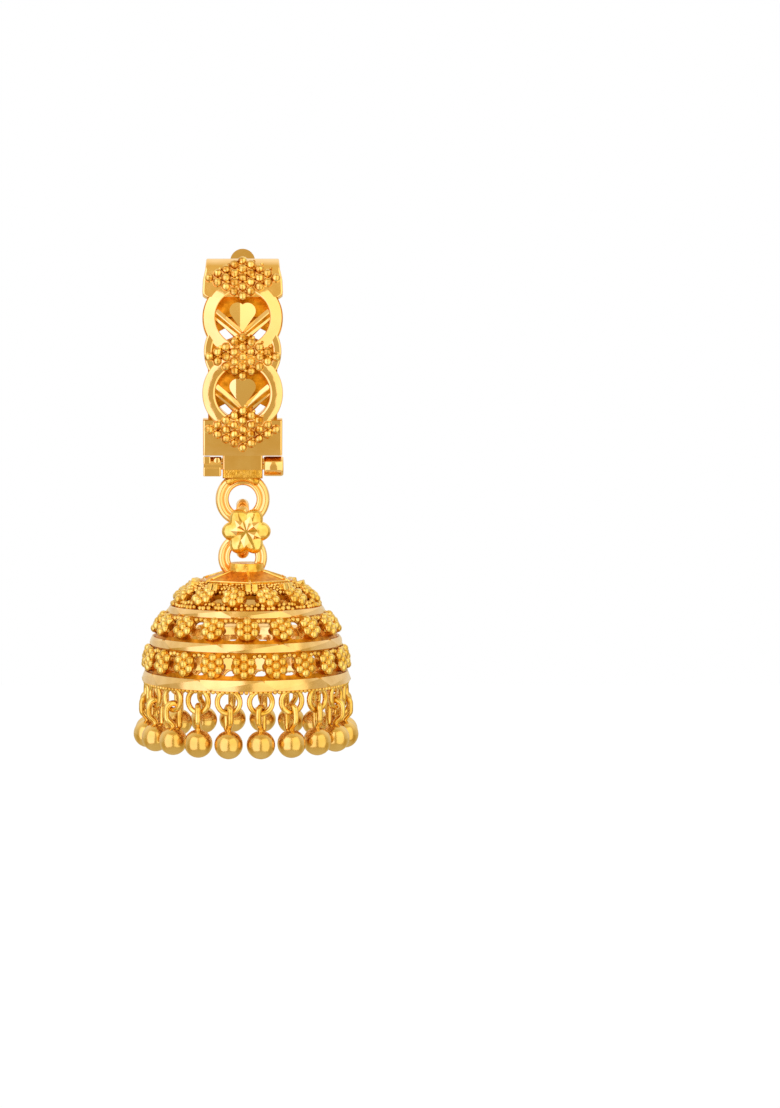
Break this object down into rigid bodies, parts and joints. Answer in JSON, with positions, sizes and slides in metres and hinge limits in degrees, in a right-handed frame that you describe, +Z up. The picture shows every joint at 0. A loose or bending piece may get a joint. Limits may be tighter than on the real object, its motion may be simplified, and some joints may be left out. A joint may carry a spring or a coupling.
{
  "type": "jhumka earring",
  "caption": "Drop earring: a hinged half-hoop with a granulated front, a flower link and a pierced bell hung with small satin ball drops.",
  "frame": {"origin": "on the axis of the ear post, in the hoop's middle plane, where the earring hangs in the ear lobe", "axes": "+Z up, -Y the decorated front, +X to the right seen from the front; the post runs along Y"},
  "size_m": [0.0188, 0.0201, 0.0418],
  "materials": {
    "gold_cast": "polished plates and rims with granulated fields",
    "gold_plain": "polished",
    "gold_pin": "polished",
    "gold_bright": "diamond-cut and polished",
    "gold_granulated": "granulated, with diamond-cut bands",
    "gold_satin": "satin"
  },
  "bodies": {
    "hoop": {"hoop_front": "gold_cast"},
    "hoop_clasp": {"hoop_back": "gold_plain", "hinge_pin": "gold_pin"},
    "link": {"flower_link": "gold_bright"},
    "bell": {"bell": "gold_granulated", "drop_01": "gold_satin", "drop_02": "gold_satin", "drop_03": "gold_satin", "drop_04": "gold_satin", "drop_05": "gold_satin", "drop_06": "gold_satin", "drop_07": "gold_satin", "drop_08": "gold_satin", "drop_09": "gold_satin", "drop_10": "gold_satin", "drop_11": "gold_satin", "drop_12": "gold_satin", "drop_13": "gold_satin", "drop_14": "gold_satin", "drop_15": "gold_satin", "drop_16": "gold_satin", "drop_17": "gold_satin", "drop_18": "gold_satin", "drop_19": "gold_satin", "drop_20": "gold_satin"}
  },
  "joints": [
    {"name": "hoop_opening", "type": "hinge", "parent": "hoop", "child": "hoop_clasp", "pos_m": [0, -0.0042, -0.01676], "axis": [1, 0, 0], "range_deg": [-40, 0]},
    {"name": "link_swing", "type": "hinge", "parent": "hoop", "child": "link", "pos_m": [0, -0.0042, -0.02122], "axis": [1, 0, 0], "range_deg": [-25, 25]},
    {"name": "bell_swing", "type": "hinge", "parent": "link", "child": "bell", "pos_m": [0, -0.0042, -0.02393], "axis": [0, 1, 0], "range_deg": [-20, 20]}
  ]
}
